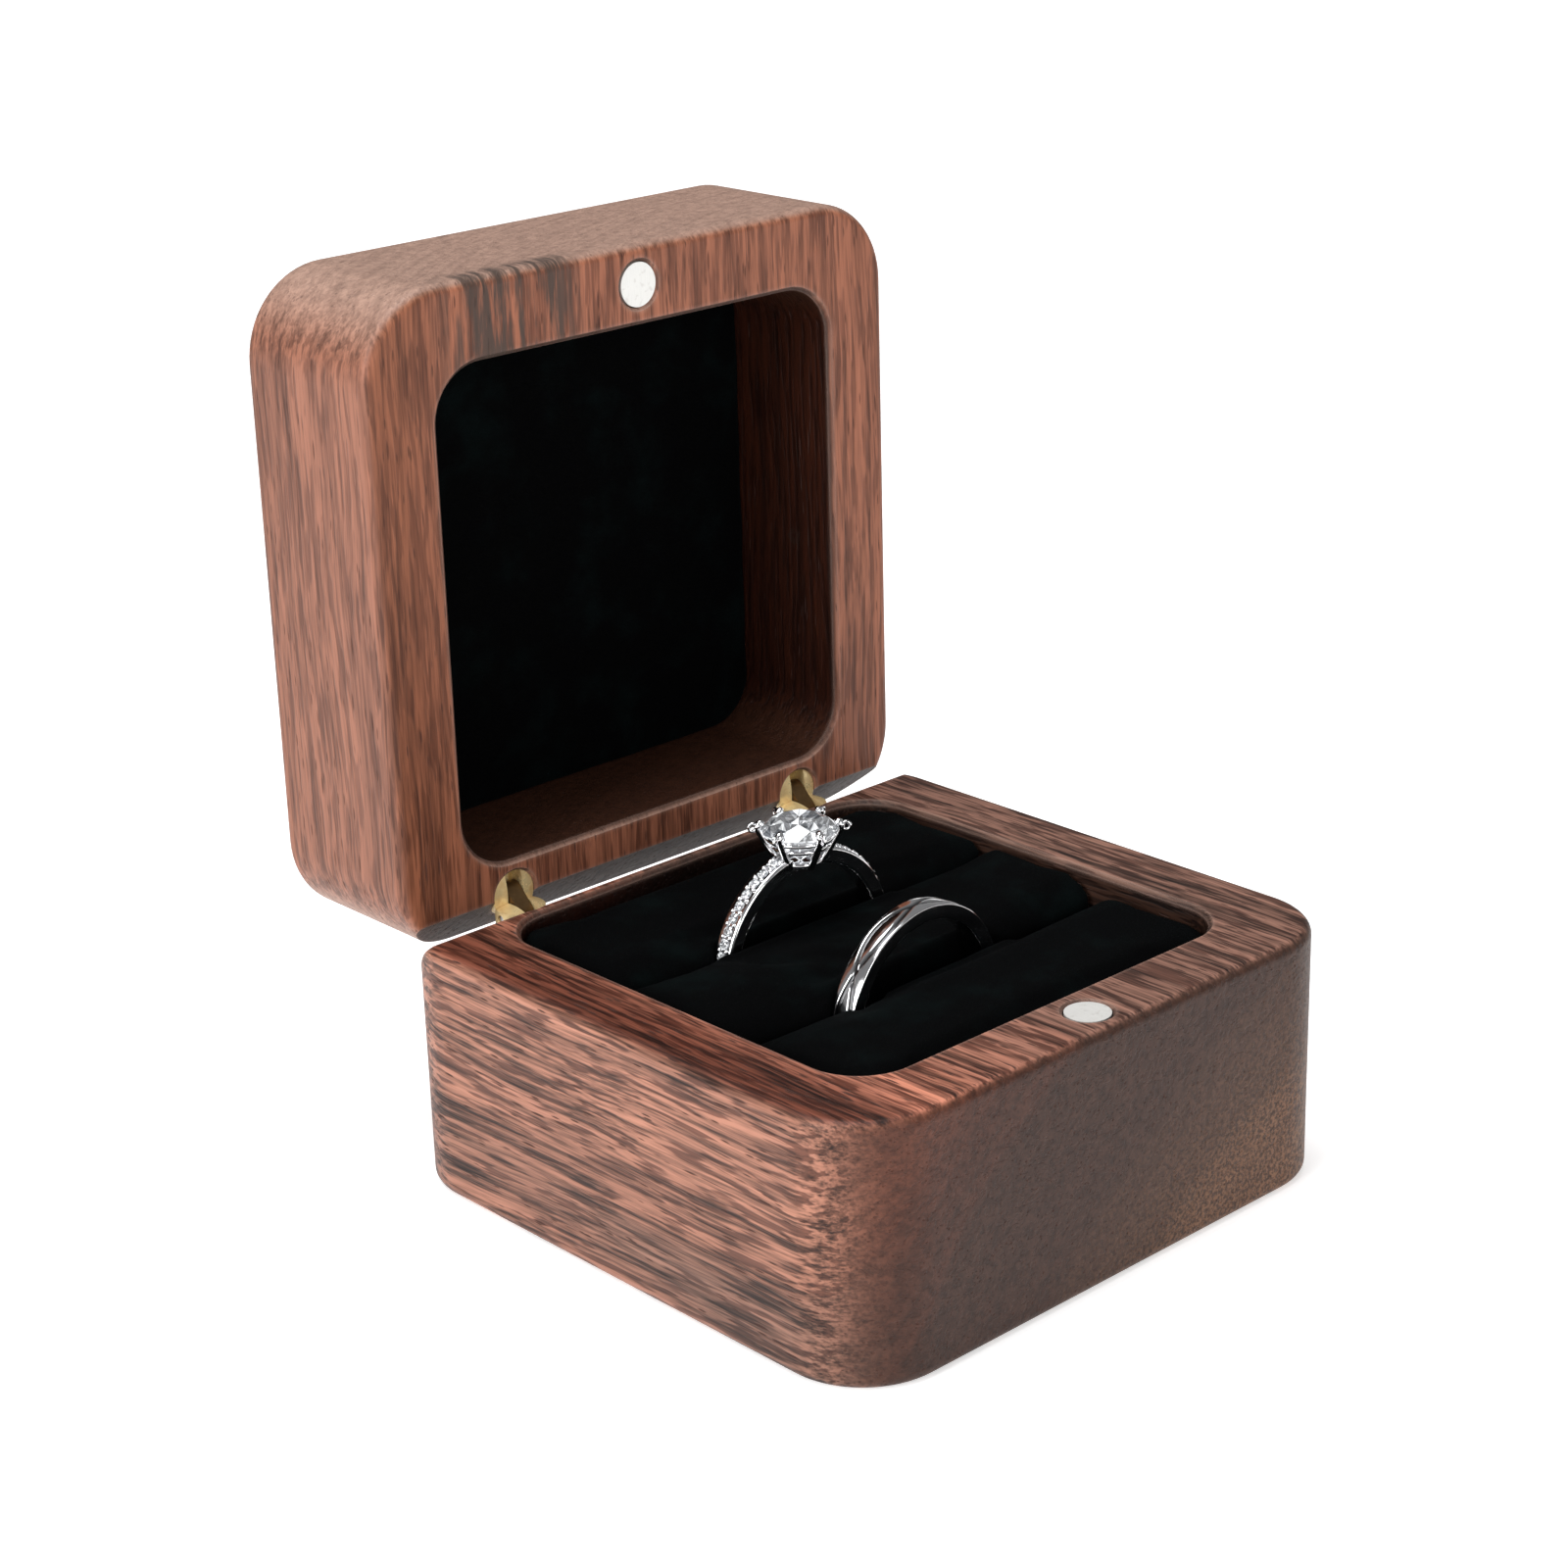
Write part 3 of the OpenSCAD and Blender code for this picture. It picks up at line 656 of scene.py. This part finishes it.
# Painted sparkle: each facet's random glint, from near black to white, is its base colour, and the brightest
# facets glow white by emission, as painted reflections.
glint = put(tree, "Attribute", attribute_name="facet", attribute_type="GEOMETRY").outputs["Fac"]
painted_facet_light = mix(tree, glint, (0.14, 0.15, 0.17, 1), (1.0, 1.0, 1.0, 1))
tree.links.new(painted_facet_light, shader.inputs["Base Color"])
painted_sparkle = mix(tree, span(tree, glint, 0.55, 0.95), (0.0, 0.0, 0.0, 1), (0.95, 0.98, 1.0, 1))
tree.links.new(painted_sparkle, shader.inputs["Emission Color"])
shader.inputs["Emission Strength"].default_value = 0.75
tree.links.new(span(tree, noise(tree, place, 1.5), 0.3, 0.7, 0.0, 0.03), shader.inputs["Roughness"])
shader.inputs["IOR"].default_value = 2.2
shader.inputs["Transmission Weight"].default_value = 0.72
shader.inputs["Specular IOR Level"].default_value = 0.7

shank_low, shank_high = (np.array(corner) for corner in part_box("solitaire_shank"))
ring_radius = (shank_high[0] - shank_low[0]) / 2
ring_centre = np.array([
    (shank_low[0] + shank_high[0]) / 2, (shank_low[1] + shank_high[1]) / 2, shank_low[2] + ring_radius,
])


def brilliant(radius, table=0.56, crown=0.31, waist=0.025, pavilion=0.86):
    """A brilliant cut about its girdle's centre: six rows of sixteen points, and one point
    at the table's middle and one at the culet.

    Even columns lie under the table's eight corners and odd columns between them. The
    crown's middle points sit on the kite facets, whose planes run from a table corner to
    the girdle, and the pavilion's on the main facets from the girdle to the culet.
    """
    rows, cuts = 6, 16
    turn = np.arange(cuts) * np.pi / 8
    odd = np.arange(cuts) % 2 == 1
    step = np.cos(np.pi / 8)
    kite, main, culet = 0.80, 0.24, 0.02
    reach = np.array([
        np.where(odd, table * step, table),
        np.where(odd, kite, kite * step),
        np.ones(cuts),
        np.ones(cuts),
        np.where(odd, main, main * step),
        np.full(cuts, culet),
    ])
    slope = crown / (1 - table)
    rise = np.array([
        waist + crown, waist + slope * (1 - kite * step), waist,
        -waist, -waist - pavilion * (1 - main * step), -waist - pavilion,
    ])[:, None] * np.ones(cuts)
    points = np.stack([reach * np.cos(turn), reach * np.sin(turn), rise], axis=-1).reshape(-1, 3)
    points = np.vstack([points, [0, 0, waist + crown], [0, 0, -waist - pavilion]]) * radius
    quads = grid_faces(rows, cuts, wrap_columns=True).reshape(rows - 1, cuts, 4)
    first = quads[..., [0, 3, 2]]
    second = quads[..., [0, 2, 1]]
    third = quads[..., [0, 3, 1]]
    fourth = quads[..., [1, 3, 2]]
    upper = np.array([True, False, True, True, False])[:, None, None]
    split = ~odd[None, :, None] == upper
    one = np.where(split, first, third).reshape(-1, 3)
    two = np.where(split, second, fourth).reshape(-1, 3)
    around = np.arange(cuts)
    beside = (around + 1) % cuts
    last_row = (rows - 1) * cuts
    table_point, culet_point = rows * cuts, rows * cuts + 1
    cap = np.stack([np.full(cuts, table_point), around, beside], axis=-1)
    foot = np.stack([np.full(cuts, culet_point), last_row + beside, last_row + around], axis=-1)
    return points, np.vstack([one, two, cap, foot])


def set_stones(name, radius, places, turns, **cut):
    """Several brilliants as one piece: each is turned by its 3 by 3 matrix and put in place.
    Each facet gets its own painted glint, a random brightness from a fixed seed."""
    points, faces = brilliant(radius, **cut)
    placed = np.einsum("nij,pj->npi", turns, points) + places[:, None, :]
    joined = faces[None] + (np.arange(len(places)) * len(points))[:, None, None]
    piece = new_piece(name, placed.reshape(-1, 3), joined.reshape(-1, 3), smooth=False)
    painted_glints = np.random.default_rng(7).random(len(piece.data.polygons)) ** 1.5
    facet = piece.data.attributes.new("facet", "FLOAT", "FACE")
    facet.data.foreach_set("value", painted_glints)
    finish_with(gem, piece)
    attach(piece, "solitaire")
    return piece


stone_low, stone_high = (np.array(corner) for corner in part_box("centre_stone"))
stone_radius = (stone_high[0] - stone_low[0]) / 2
crown_share = 0.335
girdle_height = stone_high[2] - crown_share * stone_radius
stone_at = np.array([ring_centre[0], ring_centre[1], girdle_height])
stone = set_stones("centre_stone_cut", stone_radius, stone_at[None], np.eye(3)[None])
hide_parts("centre_stone")

pave_count = 9
pave_radius = 0.0005
bead_radius = 0.00021
bead_aside = 0.00042
pave_step = np.radians(6.9)
pave_angles = np.radians(20) + pave_step * np.arange(pave_count)
pave_angles = np.concatenate([-pave_angles[::-1], pave_angles])


def round_ring(angles, out, aside):
    """Places on the shank: angle from its top, distance out from its centre, and aside."""
    return ring_centre + np.stack(
        [out * np.sin(angles), np.zeros_like(angles) + aside, out * np.cos(angles)], axis=-1
    )


def leaning(angles):
    """Matrices that turn +Z outwards at those angles round the shank."""
    c, s, o, l = np.cos(angles), np.sin(angles), np.zeros_like(angles), np.ones_like(angles)
    return np.stack([np.stack([c, o, s], -1), np.stack([o, l, o], -1), np.stack([-s, o, c], -1)], -2)


pave = set_stones(
    "pave_stones_cut", pave_radius, round_ring(pave_angles, ring_radius + 0.00005, 0.0),
    leaning(pave_angles), pavilion=0.72,
)
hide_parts("pave_stones")


def beads(name, places, radius, rows=6, columns=10):
    """Small balls as one piece: a sphere's grid of points, closed by a point at each pole."""
    polar = np.linspace(0, np.pi, rows + 2)[1:-1]
    turn = np.arange(columns) * 2 * np.pi / columns
    grid = np.stack([
        np.outer(np.sin(polar), np.cos(turn)), np.outer(np.sin(polar), np.sin(turn)),
        np.outer(np.cos(polar), np.ones(columns)),
    ], axis=-1).reshape(-1, 3)
    ball = np.vstack([grid, [0, 0, 1], [0, 0, -1]]) * radius
    around = np.arange(columns)
    beside = (around + 1) % columns
    top, bottom = rows * columns, rows * columns + 1
    last = (rows - 1) * columns
    quads = grid_faces(rows, columns, wrap_columns=True)[:, ::-1]
    sides = np.vstack([quads[:, [0, 1, 2]], quads[:, [0, 2, 3]]])
    caps = np.vstack([
        np.stack([np.full(columns, top), around, beside], -1),
        np.stack([np.full(columns, bottom), last + beside, last + around], -1),
    ])
    faces = np.vstack([sides, caps])
    placed = (ball[None] + places[:, None]).reshape(-1, 3)
    joined = (faces[None] + (np.arange(len(places)) * len(ball))[:, None, None]).reshape(-1, 3)
    return new_piece(name, placed, joined)


half_step = pave_step / 2
between = np.append(pave_angles[:pave_count] - half_step, pave_angles[pave_count - 1] + half_step)
between = np.concatenate([between, -between])
bead_places = np.concatenate(
    [round_ring(between, ring_radius + 0.00002, aside) for aside in (-bead_aside, bead_aside)]
)
pave_beads = beads("pave_beads", bead_places, bead_radius)
finish_with(white_gold, pave_beads)
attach(pave_beads, "solitaire")


def wire(path, radius, sides=14):
    """A round wire along a path: at each point a circle across the path's direction, with
    its radius there, closed by a point at both ends."""
    path = np.asarray(path, float)
    radius = np.broadcast_to(radius, len(path))
    along = np.gradient(path, axis=0)
    along /= np.linalg.norm(along, axis=1, keepdims=True)
    chord, bow = path[-1] - path[0] + 1e-9, path[len(path) // 2] - path[0] + (1e-9, 2e-9, 0)
    aside = np.cross(along, np.cross(chord, bow))
    aside /= np.linalg.norm(aside, axis=1, keepdims=True)
    third = np.cross(along, aside)
    turn = np.arange(sides) * 2 * np.pi / sides
    circle = aside[:, None] * np.cos(turn)[:, None] + third[:, None] * np.sin(turn)[:, None]
    points = (path[:, None] + circle * radius[:, None, None]).reshape(-1, 3)
    points = np.vstack([points, path[0], path[-1]])
    around = np.arange(sides)
    beside = (around + 1) % sides
    last = (len(path) - 1) * sides
    quads = grid_faces(len(path), sides, wrap_columns=True)
    sides_faces = np.vstack([quads[:, [0, 1, 2]], quads[:, [0, 2, 3]]])
    caps = np.vstack([
        np.stack([np.full(sides, len(points) - 2), beside, around], -1),
        np.stack([np.full(sides, len(points) - 1), last + around, last + beside], -1),
    ])
    return points, np.vstack([sides_faces, caps])


def hoop(centre, radius, tube, axis_pair, count=48, sides=12):
    """A ring of round wire: a circle of the tube's radius carried round a circle that lies
    in the plane of the two given directions."""
    first, second = (np.asarray(way, float) for way in axis_pair)
    third = np.cross(first, second)
    u = np.arange(count)[:, None] * 2 * np.pi / count
    v = np.arange(sides)[None, :] * 2 * np.pi / sides
    out = (radius + tube * np.cos(v))[..., None]
    spoke = np.cos(u)[..., None] * first + np.sin(u)[..., None] * second
    points = centre + out * spoke + (tube * np.sin(v))[..., None] * third
    quads = grid_faces(count, sides, wrap_rows=True, wrap_columns=True)[:, ::-1]
    return points.reshape(-1, 3), np.vstack([quads[:, [0, 1, 2]], quads[:, [0, 2, 3]]])


claw_turns = np.radians(17 + 60 * np.arange(6))
basket_height = ring_centre[2] + ring_radius
claw_steps = np.linspace(0, 1, 22)
base_out, tip_out = 0.00175, stone_radius + 0.00028
rise_from, rise_to = basket_height - 0.0012, girdle_height + 0.00085
claw_out = base_out + (tip_out - base_out) * np.minimum(claw_steps / 0.82, 1) ** 0.8
claw_out -= 0.00062 * np.clip((claw_steps - 0.84) / 0.16, 0, 1) ** 1.5
claw_rise = rise_from + (rise_to - rise_from) * np.minimum(claw_steps, 0.95)
claw_width = 0.00034 + 0.00010 * np.clip((claw_steps - 0.8) / 0.1, 0, 1)
rounded = np.clip(1 - ((claw_steps - 0.86) / 0.1405) ** 2, 0.04, 1)
claw_width = claw_width * np.sqrt(np.where(claw_steps > 0.86, rounded, 1))
made_parts = []
head_middle = np.array([ring_centre[0], ring_centre[1], 0])
curl_radius, curl_tube = 0.00036, 0.00015
for turn in claw_turns:
    way = np.array([np.cos(turn), np.sin(turn), 0])
    path = head_middle + claw_out[:, None] * way + claw_rise[:, None] * np.array([0, 0, 1])
    made_parts.append(wire(path, claw_width))
    curl = head_middle + way * (stone_radius + 0.00072) + (0, 0, girdle_height + 0.00022)
    made_parts.append(hoop(curl, curl_radius, curl_tube, (way, (0, 0, 1)), 24, 8))
level_plane = ((1, 0, 0), (0, 1, 0))
basket_hoops = ((-0.00095, 0.00178, 0.00030), (0.00045, 0.00232, 0.00026), (0.00130, 0.00292, 0.00022))
for height, out, tube in basket_hoops:
    at_height = head_middle + (0, 0, basket_height + height)
    made_parts.append(hoop(at_height, out, tube, level_plane, 64, 10))
starts = np.cumsum([0] + [len(points) for points, _ in made_parts])
head = new_piece(
    "claw_head", np.vstack([points for points, _ in made_parts]),
    np.vstack([faces + start for (_, faces), start in zip(made_parts, starts)]),
)
finish_with(white_gold, head)
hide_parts("solitaire_head")
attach(head, "solitaire")


# ---- wedding band ---------------------------------------------------------
# A plain white gold band, slightly domed, with two cut grooves that cross seven times
# round it and leave bright leaf-shaped panels between them.


def engraved_band(name, centre, turn, outer, inner, width, around=1260, face=56):
    """A band's section carried round its axis. The section is a rounded box; on its outer
    face two grooves run at plus and minus a sine of three and a half waves, and the panel
    between them is a little hollow."""
    angle = np.arange(around) * 2 * np.pi / around
    half = width / 2
    face_share, dome, edge_round = 0.93, 0.00012, 0.00018
    groove_width, groove_depth, hollow_depth = 0.00015, 0.00017, 0.00005
    across = np.linspace(-1, 1, face)
    aside = half * face_share * across
    crown = outer - dome * across**2
    wave = 0.62 * half * np.sin(3.5 * (angle + np.radians(1.0)))[:, None]
    groove = sum(np.exp(-(((aside[None] - sign * wave) / groove_width) ** 2)) for sign in (-1, 1))
    inside = 1 / (1 + np.exp((np.abs(aside[None]) - np.abs(wave)) / 0.00006))
    out = crown[None] - groove_depth * np.minimum(groove, 1) - hollow_depth * inside
    edge_turn = np.linspace(0, np.pi / 2, 5)[1:]
    edge_out = outer - dome - edge_round * (1 - np.cos(edge_turn))
    edge_aside = half * face_share + half * (1 - face_share) * np.sin(edge_turn)
    inner_out = inner + np.array([0.00018, 0.00005, 0, 0, 0, 0.00005, 0.00018])
    inner_aside = half * np.array([1.0, 0.97, 0.85, 0.0, -0.85, -0.97, -1.0])
    flat = np.ones((around, 1))
    section_out = np.hstack([out, flat * edge_out, flat * inner_out, flat * edge_out[::-1]])
    section_aside = np.hstack(
        [flat * aside, flat * edge_aside, flat * inner_aside, -flat * edge_aside[::-1]]
    )
    x = section_out * np.sin(angle)[:, None]
    z = section_out * np.cos(angle)[:, None]
    c, s = np.cos(turn), np.sin(turn)
    points = np.stack([c * x - s * section_aside, s * x + c * section_aside, z], axis=-1) + centre
    piece = new_piece(
        name, points.reshape(-1, 3),
        grid_faces(around, section_out.shape[1], wrap_rows=True, wrap_columns=True)[:, ::-1],
    )
    # Near black colour along the grooves, by their depth share.
    dark_in_grooves = np.zeros_like(section_out)
    dark_in_grooves[:, :face] = np.minimum(groove, 1) ** 0.8
    piece.data.attributes.new("groove", "FLOAT", "POINT").data.foreach_set("value", dark_in_grooves.ravel())
    return piece


band_low, band_high = (np.array(corner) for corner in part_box("wedding_band"))
band_radius, bore_radius, band_width = 0.0100, 0.0085, 0.0024
lean = np.radians(4)
band_centre = (band_low + band_high) / 2
band_centre[2] = band_low[2] + band_radius
band = engraved_band("engraved_band", band_centre, lean, band_radius, bore_radius, band_width)
finish_with(white_gold, band)
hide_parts("wedding_band")
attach(band, "band")
